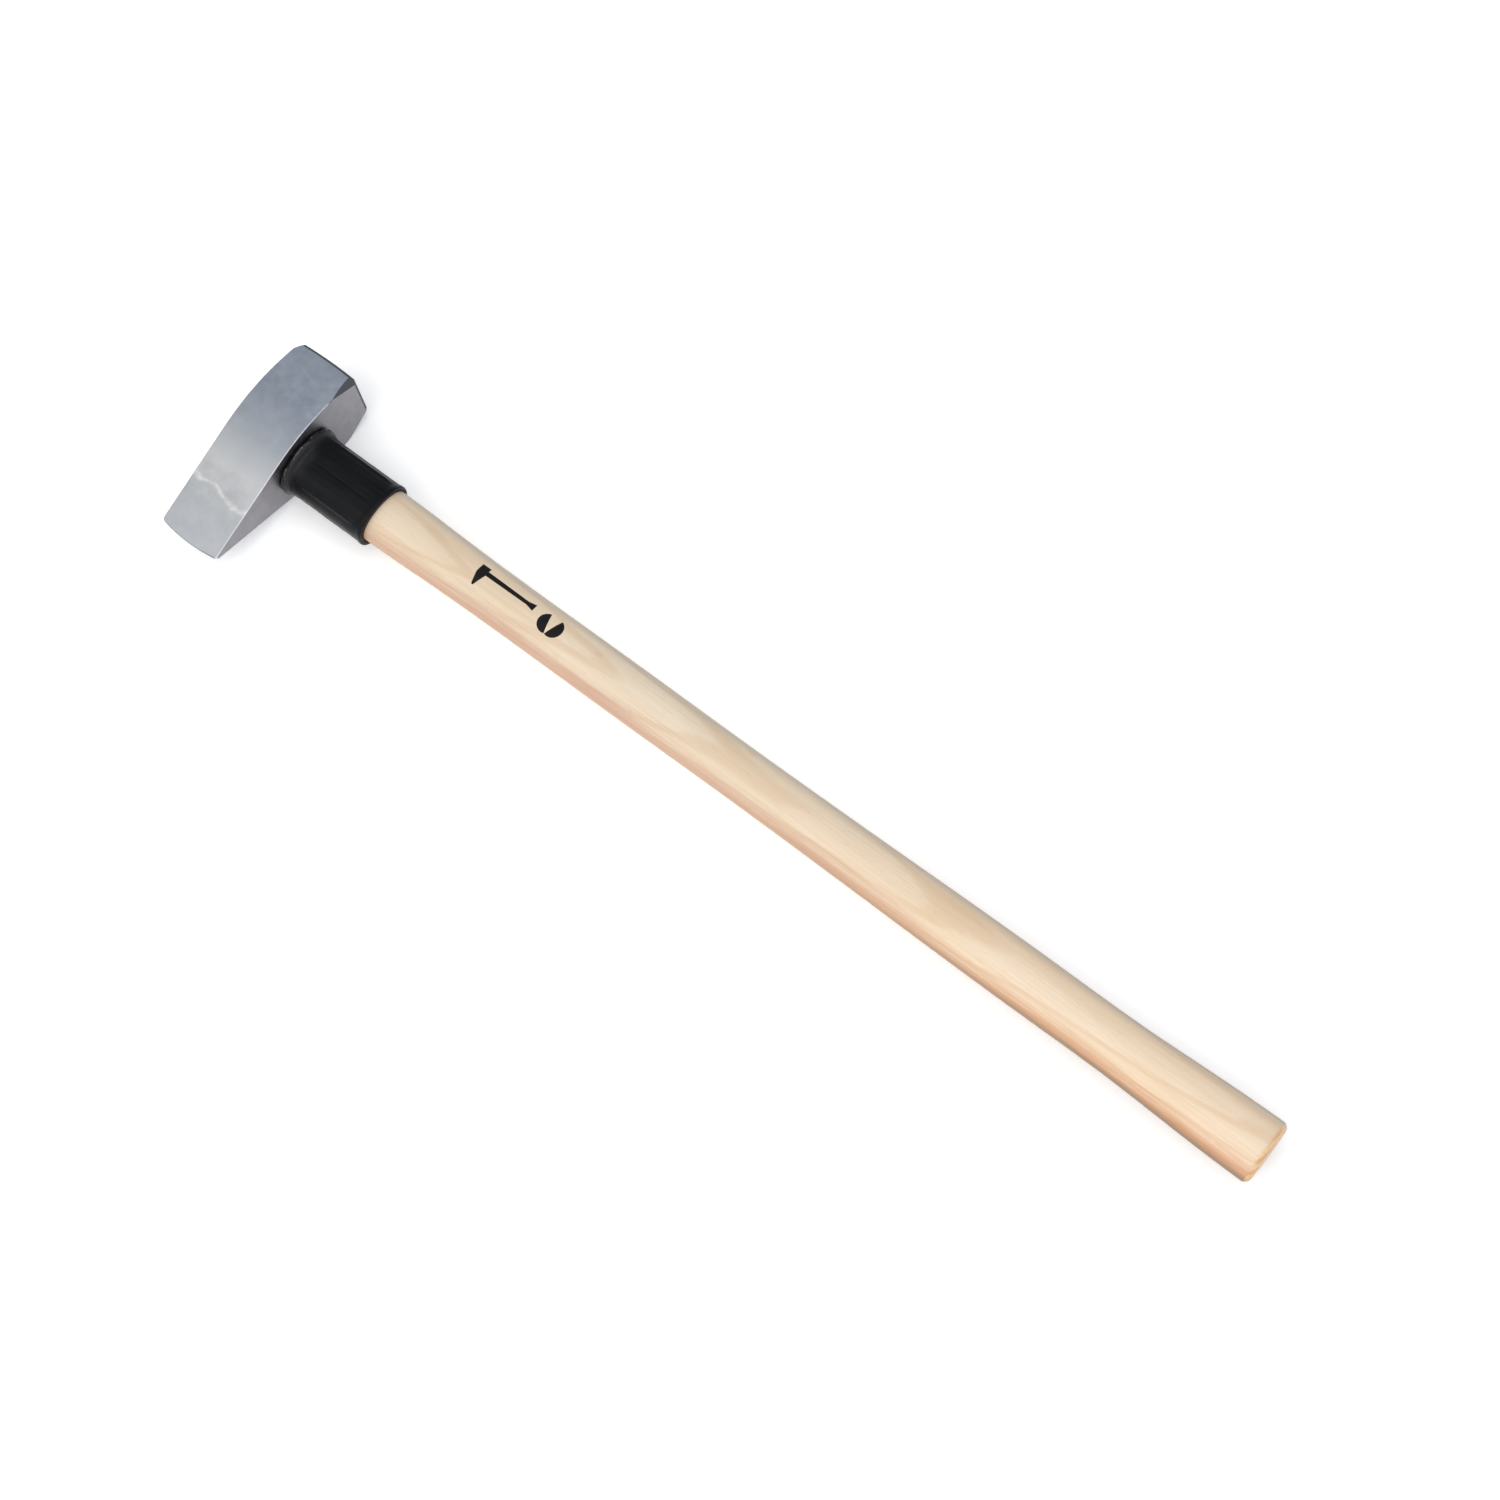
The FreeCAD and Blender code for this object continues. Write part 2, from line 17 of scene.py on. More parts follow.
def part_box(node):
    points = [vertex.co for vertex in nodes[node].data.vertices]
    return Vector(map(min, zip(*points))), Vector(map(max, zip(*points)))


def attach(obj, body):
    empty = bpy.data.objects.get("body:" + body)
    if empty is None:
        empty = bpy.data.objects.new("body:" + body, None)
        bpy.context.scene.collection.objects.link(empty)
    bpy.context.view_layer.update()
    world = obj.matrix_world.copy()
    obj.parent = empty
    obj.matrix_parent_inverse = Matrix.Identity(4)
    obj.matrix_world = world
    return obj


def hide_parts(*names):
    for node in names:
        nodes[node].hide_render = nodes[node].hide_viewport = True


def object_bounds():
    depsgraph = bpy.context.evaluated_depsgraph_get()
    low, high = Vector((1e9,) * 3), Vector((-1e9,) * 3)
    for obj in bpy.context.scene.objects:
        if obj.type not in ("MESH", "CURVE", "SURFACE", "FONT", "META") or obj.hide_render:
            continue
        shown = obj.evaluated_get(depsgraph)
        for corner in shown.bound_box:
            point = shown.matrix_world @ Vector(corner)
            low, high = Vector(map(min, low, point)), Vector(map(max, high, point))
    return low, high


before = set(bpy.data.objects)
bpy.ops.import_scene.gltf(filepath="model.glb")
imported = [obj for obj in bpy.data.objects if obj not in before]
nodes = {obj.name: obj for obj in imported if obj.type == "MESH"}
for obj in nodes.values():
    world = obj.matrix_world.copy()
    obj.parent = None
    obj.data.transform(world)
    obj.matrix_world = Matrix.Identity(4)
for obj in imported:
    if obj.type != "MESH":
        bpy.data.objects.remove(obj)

MM = 0.001
cad_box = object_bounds()
head_low, head_high = (Vector(corner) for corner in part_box("head"))
rubber_low, rubber_high = (Vector(corner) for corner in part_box("overstrike_sleeve"))
AXIS_Y = (rubber_low.y + rubber_high.y) / 2
AXIS_Z = (rubber_low.z + rubber_high.z) / 2
print("solids:", ", ".join(sorted(nodes)))
print("overall length %.0f mm" % ((cad_box[1][0] - cad_box[0][0]) / MM))

# %% [markdown]
# ## Words for colour and nodes
# Paint and print shops give colours as hex codes in the sRGB scale, but a renderer adds light
# in a linear scale, so one function turns the codes over. A second function adds any node at
# all, with its settings and its links, so that every finish below reads as a short recipe.
# %% Colour and node helpers
def linear(code):
    """A hex colour in the renderer's linear scale."""
    shares = [int(code[i:i + 2], 16) / 255 for i in (1, 3, 5)]
    return [c / 12.92 if c <= 0.04045 else ((c + 0.055) / 1.055) ** 2.4 for c in shares] + [1.0]


def add(tree, kind, inputs=None, stops=None, **settings):
    """Add a node. An input is a value or a socket to link; stops are a ramp's (place, colour)."""
    made = tree.nodes.new("ShaderNode" + kind)
    for name, value in settings.items():
        setattr(made, name, value)
    for name, value in (inputs or {}).items():
        if isinstance(value, bpy.types.NodeSocket):
            tree.links.new(value, made.inputs[name])
        else:
            made.inputs[name].default_value = value
    for count, (place, colour) in enumerate(stops or []):
        ramp = made.color_ramp.elements
        stop = ramp[count] if count < 2 else ramp.new(place)
        stop.position, stop.color = place, colour
    return made


def new_material(name, **shader):
    """An empty material with its shader's uniform values set on the shader's own sockets."""
    made = bpy.data.materials.new(name)
    made.use_nodes = True
    surface = made.node_tree.nodes["Principled BSDF"]
    for socket, value in shader.items():
        surface.inputs[socket.replace("_", " ")].default_value = value
    return made, made.node_tree, surface


def grey(share):
    """A neutral ramp colour of that linear share."""
    return [share, share, share, 1.0]


def dress(piece, finish):
    """Put one finish on every material slot of a piece."""
    if not piece.material_slots:
        piece.data.materials.append(finish)
    for place in piece.material_slots:
        place.material = finish


# %% [markdown]
# ## Forged and ground steel
# The head is drop forged from medium carbon steel. Its two broad cheeks are belt ground, which
# leaves them bright and softly mottled, and the blade end gets a second grind whose start shows
# as one bright wavy line: a change of finish, drawn brighter as a painted highlight of the slight
# arris there. The two flat faces stay as they were forged and tumbled, so they are darker and a
# little warmer. The bevels by the poll keep a dark heat-treated skin, an oxide that is dull and
# hardly metallic. A single plain grey would hide all of this, so the finish is mixed by where a
# surface faces. The cheeks' colour also runs from bright at the blade to blue-grey at the poll,
# which is partly painted reflection of an uneven studio. The darker and lighter rims along the
# head's edges are partly painted shade and painted highlight, standing in for the way real
# rounded edges catch a studio's light.
# %% Ground steel: where each finish lies
FINE_SCRATCH = 0.5 * MM                # real ones are finer, but this is the finest that shows
MOTTLE = 9 * MM
CLOUD_SHIFT = 0.16                     # how far the mottle moves the tones along the head
WAVE_LENGTH = 26 * MM
WANDER, SLANT = 22 * MM, 0.09          # how far the grind line strays, and its lean
GRIND_START = head_low.y + 40.6 * MM   # where the second grind of the blade begins
BEVEL_START = head_high.y - 31 * MM    # where the corner bevels run out

steel, tree, surface = new_material("forged_steel_belt_ground", Metallic=1.0)
place = add(tree, "TexCoord").outputs["Object"]
facing = add(tree, "SeparateXYZ", {"Vector": add(tree, "NewGeometry").outputs["Normal"]}).outputs
where = add(tree, "SeparateXYZ", {"Vector": place}).outputs
mottle = add(tree, "TexNoise", {"Vector": place, "Scale": 1 / MOTTLE, "Detail": 5.0,
                                "Roughness": 0.62})
along_head = add(tree, "MapRange", {"Value": where["Y"], "From Min": head_low.y,
                                    "From Max": head_high.y})
soft_step = add(tree, "Math", {0: mottle.outputs["Fac"], 1: CLOUD_SHIFT}, operation="MULTIPLY")
shifted = add(tree, "Math", {0: along_head.outputs["Result"], 1: soft_step.outputs["Value"]},
              operation="ADD")
# painted reflection: this ramp from bright at the blade to blue-grey at the poll partly stands in
# for the uneven studio that the ground steel mirrors
cheek = add(tree, "ValToRGB", {"Fac": shifted.outputs["Value"]}, stops=[
    (0.05, linear("#b3b6bb")), (1.0, linear("#bdc4cf")), (0.26, linear("#b1b3b6")),
    (0.44, linear("#bfc0c1")), (0.58, linear("#a6aab0")), (0.80, linear("#9ea5b1"))])
cloud_tone = add(tree, "ValToRGB", {"Fac": mottle.outputs["Fac"]}, stops=[
    (0.34, linear("#f4f5f6")), (0.66, linear("#ffffff"))])
mottled_painted_reflection = add(tree, "Mix", {"Factor": 1.0, 6: cheek.outputs["Color"],
                            7: cloud_tone.outputs["Color"]},
              data_type="RGBA", blend_type="MULTIPLY")

# %% Ground steel: the flat faces and the painted highlight of the second grind
FLAT_FROM, FLAT_TO = 0.90, 0.985       # how squarely a face looks along the handle to be flat
CHEEK_FROM, CHEEK_TO = 0.85, 0.95      # how squarely a face looks up to carry the grind line
LINE_HALF = 3.2 * MM                   # half the width of the grind line
LINE_FAINT, LINE_STRONG = 0.15, 0.75   # the line is broken, so its strength varies

flat_mask = add(tree, "MapRange", {
    "Value": add(tree, "Math", {0: facing["X"]}, operation="ABSOLUTE").outputs["Value"],
    "From Min": FLAT_FROM, "From Max": FLAT_TO})
flat_tone = add(tree, "ValToRGB", {"Fac": mottle.outputs["Fac"]}, stops=[
    (0.3, linear("#858388")), (0.7, linear("#949297"))])
with_flats = add(tree, "Mix", {"Factor": flat_mask.outputs["Result"], 6: mottled_painted_reflection.outputs[2],
                               7: flat_tone.outputs["Color"]}, data_type="RGBA")
# painted highlight: the bright wavy line where the second grind starts marks a change of finish,
# and its brightness stands in for light caught by the arris there
wander = add(tree, "TexNoise", {"Vector": place, "Scale": 1 / WAVE_LENGTH, "Detail": 2.0})
wave = add(tree, "Math", {0: wander.outputs["Fac"], 1: WANDER, 2: where["Y"]},
           operation="MULTIPLY_ADD")
slant = add(tree, "Math", {0: where["X"], 1: SLANT, 2: wave.outputs["Value"]},
            operation="MULTIPLY_ADD")
middle = GRIND_START + WANDER / 2 + SLANT * (head_low.x + head_high.x) / 2
off_line = add(tree, "Math", {0: slant.outputs["Value"], 1: middle}, operation="SUBTRACT")
from_line = add(tree, "Math", {0: off_line.outputs["Value"]}, operation="ABSOLUTE")
line = add(tree, "MapRange", {
    "Value": from_line.outputs["Value"], "From Min": 0.0, "From Max": LINE_HALF,
    "To Min": 1.0, "To Max": 0.0}, interpolation_type="SMOOTHSTEP")
broken = add(tree, "MapRange", {"Value": mottle.outputs["Fac"], "From Min": 0.38, "From Max": 0.62,
                                "To Min": LINE_FAINT, "To Max": LINE_STRONG})
on_cheek = add(tree, "MapRange", {"Value": facing["Z"], "From Min": CHEEK_FROM,
                                  "From Max": CHEEK_TO})
grind_highlight_mask = add(tree, "Math", {0: line.outputs["Result"], 1: on_cheek.outputs["Result"]},
                operation="MULTIPLY")
with_grind_highlight = add(tree, "Mix", {
    "Factor": add(tree, "Math", {0: grind_highlight_mask.outputs["Value"], 1: broken.outputs["Result"]},
                  operation="MULTIPLY").outputs["Value"],
    6: with_flats.outputs[2], 7: linear("#dbdad7")}, data_type="RGBA")

# %% Ground steel: dark skin on the bevels, painted rims, then scratches and gloss
BEVEL_FADE = 3 * MM                    # the skin fades in over this length of the corner bevels
EDGE_FROM, EDGE_TO = -0.55, -0.9       # how squarely a face looks out of the cutting edge
POLL_FROM, POLL_TO = 0.975, 0.995      # the same for the poll's own face
SKIN_METAL, SKIN_DULL = 0.1, 0.62      # the oxide skin's share of metal, and its roughness
GLOSSY, LESS_GLOSSY = 0.32, 0.38       # roughness of the ground steel, from patch to patch
SCRATCH_DULLS = 0.10                   # what a scratch adds to the roughness

sideways = add(tree, "Math", {0: facing["X"]}, operation="ABSOLUTE")
tilted = add(tree, "ValToRGB", {"Fac": sideways.outputs["Value"]}, stops=[
    (0.30, grey(0)), (0.93, grey(0)), (0.45, grey(1)), (0.86, grey(1))])
near_poll = add(tree, "MapRange", {"Value": where["Y"], "From Min": BEVEL_START,
                                   "From Max": BEVEL_START + BEVEL_FADE})
corner_mask = add(tree, "Math", {0: tilted.outputs["Color"], 1: near_poll.outputs["Result"]},
                  operation="MULTIPLY")
rearward = add(tree, "ValToRGB", {"Fac": facing["Y"]}, stops=[
    (0.44, grey(0)), (0.985, grey(0)), (0.54, grey(1)), (0.95, grey(1))])
bevel_mask = add(tree, "Math", {0: corner_mask.outputs["Value"], 1: rearward.outputs["Color"]},
                 operation="MAXIMUM")
with_corners = add(tree, "Mix", {"Factor": corner_mask.outputs["Value"], 6: with_grind_highlight.outputs[2],
                                 7: linear("#474a4f")}, data_type="RGBA")
steel_colour = add(tree, "Mix", {"Factor": rearward.outputs["Color"], 6: with_corners.outputs[2],
                                 7: linear("#17191c")}, data_type="RGBA")
edge_flat = add(tree, "MapRange", {"Value": facing["Y"], "From Min": EDGE_FROM,
                                   "From Max": EDGE_TO})
edge_toned = add(tree, "Mix", {"Factor": edge_flat.outputs["Result"], 6: steel_colour.outputs[2],
                               7: linear("#5d6064")}, data_type="RGBA")
poll_face = add(tree, "MapRange", {"Value": facing["Y"], "From Min": POLL_FROM,
                                   "From Max": POLL_TO})
polled = add(tree, "Mix", {"Factor": poll_face.outputs["Result"], 6: edge_toned.outputs[2],
                           7: flat_tone.outputs["Color"]}, data_type="RGBA")
# painted shade and painted highlight: a darker rim round the outer flat face and a near-white rim
# round the handle-side face, partly standing in for light on rounded edges
outer_rim_painted_shade = add(tree, "ValToRGB", {"Fac": add(tree, "Math", {0: facing["X"], 1: -1.0},
                operation="MULTIPLY").outputs["Value"]}, stops=[
    (0.22, grey(0)), (0.96, grey(0)), (0.40, grey(0.9)), (0.85, grey(0.9))])
rimmed_painted_shade = add(tree, "Mix", {"Factor": outer_rim_painted_shade.outputs["Color"], 6: polled.outputs[2],
                           7: linear("#4d5055")}, data_type="RGBA")
inner_rim_painted_highlight = add(tree, "Math", {
    0: add(tree, "ValToRGB", {"Fac": facing["X"]}, stops=[
        (0.15, grey(0)), (0.95, grey(0)), (0.35, grey(0.4)), (0.80, grey(0.4))]).outputs["Color"],
    1: bevel_mask.outputs["Value"]}, operation="SUBTRACT", use_clamp=True)
edged_painted_highlight = add(tree, "Mix", {"Factor": inner_rim_painted_highlight.outputs["Value"], 6: rimmed_painted_shade.outputs[2],
                          7: linear("#fafafa")}, data_type="RGBA")
lengthways = add(tree, "Mapping", {"Vector": place, "Scale": (1.0, 0.12, 1.0)})
scratch = add(tree, "TexNoise", {"Vector": lengthways.outputs["Vector"], "Scale": 1 / FINE_SCRATCH,
                                 "Detail": 2.0, "Roughness": 0.6})
gloss = add(tree, "MapRange", {"Value": mottle.outputs["Fac"], "From Min": 0.3, "From Max": 0.7,
                               "To Min": GLOSSY, "To Max": LESS_GLOSSY})
dulled = add(tree, "Math", {0: scratch.outputs["Fac"], 1: SCRATCH_DULLS,
                            2: gloss.outputs["Result"]}, operation="MULTIPLY_ADD")
ripple = add(tree, "Bump", {"Height": wander.outputs["Fac"], "Strength": 0.22,
                            "Distance": 1.2 * MM})
grooves = add(tree, "Bump", {"Height": scratch.outputs["Fac"], "Strength": 0.10,
                             "Distance": 0.05 * MM, "Normal": ripple.outputs["Normal"]})
bare_metal = add(tree, "MapRange", {"Value": bevel_mask.outputs["Value"], "To Min": 1.0,
                                    "To Max": SKIN_METAL})
skin_dull = add(tree, "Mix", {"Factor": bevel_mask.outputs["Value"],
                              2: dulled.outputs["Value"], 3: SKIN_DULL})
tree.links.new(edged_painted_highlight.outputs[2], surface.inputs["Base Color"])
tree.links.new(bare_metal.outputs["Result"], surface.inputs["Metallic"])
tree.links.new(skin_dull.outputs[0], surface.inputs["Roughness"])
tree.links.new(grooves.outputs["Normal"], surface.inputs["Normal"])
dress(nodes["head"], steel)
print("steel:", len(tree.nodes), "nodes on the head")

# %% [markdown]
# ## Hickory
# The handle is turned from one split billet of hickory, sanded and wiped with a thin clear
# lacquer. The billet's growth rings run almost, but never quite, along the handle, so they come
# out at the surface as long pointed arches. Rings about a line that is tipped by two degrees
# give that figure by themselves, where stretched noise alone gives only streaks. One side of
# the billet held a band of pinkish heartwood, and short pores show as fine dashes. The poll side
# is toned greyer and the grip's lower side browner in the wood's own colour: that is painted
# shade, which a bright floor would otherwise wash out. It follows the handle, not the viewer.
# %% Hickory: rings, fibres and pores
RING_GAP = 5.5 * MM
FIBRE = 1.5 * MM               # real fibres are far finer, but this is the finest that shows
FLECK = 3.2 * MM
PORE = 0.7 * MM
BAND_PERIOD = math.tau / 20    # the ring texture's own count of rings for a scale of one
PITH = (0, -0.012, 0.055)      # how far the middle of the tree lay from the handle, in metres
LEAN, TURN = math.radians(2.1), math.radians(1.1)    # how the rings are tipped

wood, tree, surface = new_material("hickory_sanded_lacquered", IOR=1.5, Coat_Weight=0.12,
                                   Coat_Roughness=0.28, Specular_IOR_Level=0.4)
place = add(tree, "TexCoord").outputs["Object"]
where = add(tree, "SeparateXYZ", {"Vector": place}).outputs
facing = add(tree, "SeparateXYZ", {"Vector": add(tree, "NewGeometry").outputs["Normal"]}).outputs
billet = add(tree, "Mapping", {"Vector": place, "Location": PITH, "Rotation": (0, LEAN, TURN)})
sway = add(tree, "Mapping", {"Vector": place, "Scale": (5.0, 26.0, 26.0)})
swaying = add(tree, "TexNoise", {"Vector": sway.outputs["Vector"], "Scale": 1.0, "Detail": 2.0})
moved = add(tree, "VectorMath", {
    0: swaying.outputs["Color"], 1: (0, 0.011, 0.011), 2: billet.outputs["Vector"]},
    operation="MULTIPLY_ADD")
rings = add(tree, "TexWave", {"Vector": moved.outputs["Vector"], "Scale": BAND_PERIOD / RING_GAP,
                              "Distortion": 0.6, "Detail": 2.0, "Detail Scale": 40.0},
            wave_type="RINGS", rings_direction="X", wave_profile="SIN")
stretch = add(tree, "Mapping", {"Vector": place, "Scale": (0.018, 1.0, 1.0)})
fibres = add(tree, "TexNoise", {"Vector": stretch.outputs["Vector"], "Scale": 1 / FIBRE,
                                "Detail": 3.0, "Roughness": 0.6})
clouds = add(tree, "Mapping", {"Vector": place, "Scale": (7.0, 45.0, 45.0)})
tint = add(tree, "TexNoise", {"Vector": clouds.outputs["Vector"], "Scale": 1.0, "Detail": 3.0})
dashes = add(tree, "Mapping", {"Vector": place, "Scale": (0.09, 1.0, 1.0)})
pores = add(tree, "TexNoise", {"Vector": dashes.outputs["Vector"], "Scale": 1 / PORE,
                               "Detail": 1.0})
print("hickory: rings every %.1f mm" % (RING_GAP / MM))

# %% Hickory: colour
RING_SHOWS, STREAK_SHOWS, PORE_SHOWS, FLECK_SHOWS = 0.26, 0.25, 0.20, 0.30
HEART_SHOWS, POLL_SIDE_SHADE_SHOWS = 0.80, 0.72
BUTT_FROM, BUTT_TO = -0.05, 0.38       # metres along the handle over which the wood warms

sapwood = add(tree, "ValToRGB", {"Fac": tint.outputs["Fac"]}, stops=[
    (0.28, linear("#dfc9ac")), (0.74, linear("#e8d9c3")), (0.50, linear("#e4d1b7"))])
late = add(tree, "MapRange", {"Value": rings.outputs["Fac"], "From Min": 0.72, "From Max": 1.0,
                              "To Min": 0.0, "To Max": RING_SHOWS}, interpolation_type="SMOOTHSTEP")
ringed = add(tree, "Mix", {"Factor": late.outputs["Result"], 6: sapwood.outputs["Color"],
                           7: linear("#c8a074")}, data_type="RGBA")
streak = add(tree, "MapRange", {"Value": fibres.outputs["Fac"], "From Min": 0.40, "From Max": 0.72,
                                "To Min": 0.0, "To Max": STREAK_SHOWS})
streaked = add(tree, "Mix", {"Factor": streak.outputs["Result"], 6: ringed.outputs[2],
                             7: linear("#cfae86")}, data_type="RGBA")
edge_side = add(tree, "Math", {0: tint.outputs["Fac"], 1: -0.9, 2: facing["Y"]},
                operation="MULTIPLY_ADD")
frayed = add(tree, "Math", {0: fibres.outputs["Fac"], 1: -0.5, 2: edge_side.outputs["Value"]},
             operation="MULTIPLY_ADD")
heart = add(tree, "MapRange", {
    "Value": frayed.outputs["Value"], "From Min": -0.92, "From Max": -1.70,
    "To Min": 0.0, "To Max": HEART_SHOWS}, interpolation_type="SMOOTHSTEP")
to_butt = add(tree, "MapRange", {"Value": where["X"], "From Min": BUTT_FROM, "From Max": BUTT_TO,
                                 "To Min": 0.0, "To Max": 1.0}, interpolation_type="SMOOTHSTEP")
heart_colour = add(tree, "Mix", {"Factor": to_butt.outputs["Result"], 6: linear("#c1947a"),
                                 7: linear("#c0855a")}, data_type="RGBA")
banded = add(tree, "Mix", {"Factor": heart.outputs["Result"], 6: streaked.outputs[2],
                           7: heart_colour.outputs[2]}, data_type="RGBA")
# painted shade: the handle's poll side is toned greyer in its colour
poll_side = add(tree, "MapRange", {
    "Value": facing["Y"], "From Min": 0.38, "From Max": 0.95,
    "To Min": 0.0, "To Max": POLL_SIDE_SHADE_SHOWS}, interpolation_type="SMOOTHSTEP")
shaded = add(tree, "Mix", {"Factor": poll_side.outputs["Result"], 6: banded.outputs[2],
                           7: linear("#a49c8d")}, data_type="RGBA")
dash = add(tree, "MapRange", {"Value": pores.outputs["Fac"], "From Min": 0.66, "From Max": 0.74,
                              "To Min": 0.0, "To Max": PORE_SHOWS})
pored = add(tree, "Mix", {"Factor": dash.outputs["Result"], 6: shaded.outputs[2],
                          7: linear("#b8906a")}, data_type="RGBA")
fleck_place = add(tree, "Mapping", {"Vector": place, "Scale": (0.5, 1.0, 1.0)})
flecks = add(tree, "TexVoronoi", {"Vector": fleck_place.outputs["Vector"],
                                  "Scale": 1 / (10 * FLECK)})
fleck = add(tree, "MapRange", {
    "Value": flecks.outputs["Distance"], "From Min": 0.02, "From Max": 0.09,
    "To Min": FLECK_SHOWS, "To Max": 0.0}, interpolation_type="SMOOTHSTEP")
wood_colour = add(tree, "Mix", {"Factor": fleck.outputs["Result"], 6: pored.outputs[2],
                                7: linear("#cf9a80")}, data_type="RGBA")

# %% Hickory: painted shade on the grip, end grain, gloss and touch
UNDERSIDE_SHADE_SHOWS, END_SHOWS, END_PORE_SHOWS = 0.85, 0.85, 0.28
END_FROM, END_TO = 0.25, 0.62          # how squarely the wood looks out of its end
WOOD_GLOSSY, WOOD_DULL = 0.42, 0.56    # roughness of the lacquered wood, from fibre to fibre

warmed = add(tree, "Mix", {"Factor": to_butt.outputs["Result"], 6: wood_colour.outputs[2],
                           7: (1.10, 1.06, 1.03, 1.0)}, data_type="RGBA", blend_type="MULTIPLY")
# painted shade: faces turned down on the grip are toned browner, more so towards the butt
underside_shade = add(tree, "MapRange", {"Value": facing["Z"], "From Min": 0.74, "From Max": 0.18,
                                   "To Min": 0.0, "To Max": UNDERSIDE_SHADE_SHOWS},
                interpolation_type="SMOOTHSTEP")
grip_shade_mask = add(tree, "Math", {0: underside_shade.outputs["Result"], 1: to_butt.outputs["Result"]},
                operation="MULTIPLY")
grip_painted_shade = add(tree, "Mix", {"Factor": grip_shade_mask.outputs["Value"], 6: warmed.outputs[2],
                            7: linear("#80684e")}, data_type="RGBA")
end_face = add(tree, "MapRange", {
    "Value": add(tree, "Math", {0: facing["X"]}, operation="ABSOLUTE").outputs["Value"],
    "From Min": END_FROM, "From Max": END_TO, "To Min": 0.0, "To Max": END_SHOWS})
end_rings = add(tree, "ValToRGB", {"Fac": rings.outputs["Fac"]}, stops=[
    (0.15, linear("#f2c896")), (0.95, linear("#dba874"))])
end_pores = add(tree, "MapRange", {
    "Value": pores.outputs["Fac"], "From Min": 0.54, "From Max": 0.64,
    "To Min": 0.0, "To Max": END_PORE_SHOWS})
end_grain = add(tree, "Mix", {"Factor": end_pores.outputs["Result"], 6: end_rings.outputs["Color"],
                              7: linear("#8a6240")}, data_type="RGBA")
with_end = add(tree, "Mix", {"Factor": end_face.outputs["Result"], 6: grip_painted_shade.outputs[2],
                             7: end_grain.outputs[2]}, data_type="RGBA")
wood_gloss = add(tree, "MapRange", {
    "Value": fibres.outputs["Fac"], "From Min": 0.3, "From Max": 0.7,
    "To Min": WOOD_GLOSSY, "To Max": WOOD_DULL})
fibre_touch = add(tree, "Bump", {"Height": fibres.outputs["Fac"], "Strength": 0.20,
                                 "Distance": 0.12 * MM})
pore_touch = add(tree, "Bump", {"Height": dash.outputs["Result"], "Strength": 0.25,
                                "Distance": 0.10 * MM, "Normal": fibre_touch.outputs["Normal"]},
                 invert=True)
tree.links.new(with_end.outputs[2], surface.inputs["Base Color"])
tree.links.new(wood_gloss.outputs["Result"], surface.inputs["Roughness"])
tree.links.new(pore_touch.outputs["Normal"], surface.inputs["Normal"])
dress(nodes["handle"], wood)
print("hickory:", len(tree.nodes), "nodes on the handle")

# %% [markdown]
# ## The wedges in the eye
# A wooden wedge spreads the tenon along the eye and two steel wedges lock it across. The wooden
# one is driven end grain up, in a browner wood, and the steel ones keep a dull mill skin.
# %% Wedge finishes
wedge_wood, tree, surface = new_material("wedge_wood_sawn_end_grain", Roughness=0.72, IOR=1.5)
place = add(tree, "TexCoord").outputs["Object"]
specks = add(tree, "TexNoise", {"Vector": place, "Scale": 1 / (0.8 * MM), "Detail": 3.0})
brown = add(tree, "ValToRGB", {"Fac": specks.outputs["Fac"]}, stops=[
    (0.32, linear("#8d6643")), (0.68, linear("#c19a6e"))])
sawn = add(tree, "Bump", {"Height": specks.outputs["Fac"], "Strength": 0.4, "Distance": 0.2 * MM})
tree.links.new(brown.outputs["Color"], surface.inputs["Base Color"])
tree.links.new(sawn.outputs["Normal"], surface.inputs["Normal"])
dress(nodes["wooden_wedge"], wedge_wood)

wedge_steel, tree, surface = new_material("wedge_steel_mill_skin", Metallic=1.0)
place = add(tree, "TexCoord").outputs["Object"]
skin = add(tree, "TexNoise", {"Vector": place, "Scale": 1 / (2.5 * MM), "Detail": 5.0})
mill = add(tree, "ValToRGB", {"Fac": skin.outputs["Fac"]}, stops=[
    (0.3, linear("#6c6d70")), (0.7, linear("#9c9ea1"))])
skin_gloss = add(tree, "MapRange", {"Value": skin.outputs["Fac"], "To Min": 0.62, "To Max": 0.36})
tree.links.new(mill.outputs["Color"], surface.inputs["Base Color"])
tree.links.new(skin_gloss.outputs["Result"], surface.inputs["Roughness"])
for name in ("edge_side_wedge", "poll_side_wedge"):
    dress(nodes[name], wedge_steel)
print("wedge finishes: sawn wood and mill steel")

# %% [markdown]
# ## Rings round the handle
# The sleeve and the sealant both go right round the oval handle, so both are built the same way.
# A cross section is walked once round the handle and its rings are joined to each other, the
# last to the first. That always closes, so neither piece has a stray face or an open rim.
# %% A closed ring of cross sections
BLUNT = 2.3                    # above 2 an oval gets flatter sides and fuller corners


def oval_point(angle, half_wide, half_thick, power):
    """A point on a blunt oval in the plane across the handle."""
    c, s = math.cos(angle), math.sin(angle)
    y = math.copysign(abs(c) ** (2 / power), c) * half_wide
    z = math.copysign(abs(s) ** (2 / power), s) * half_thick
    return y, z


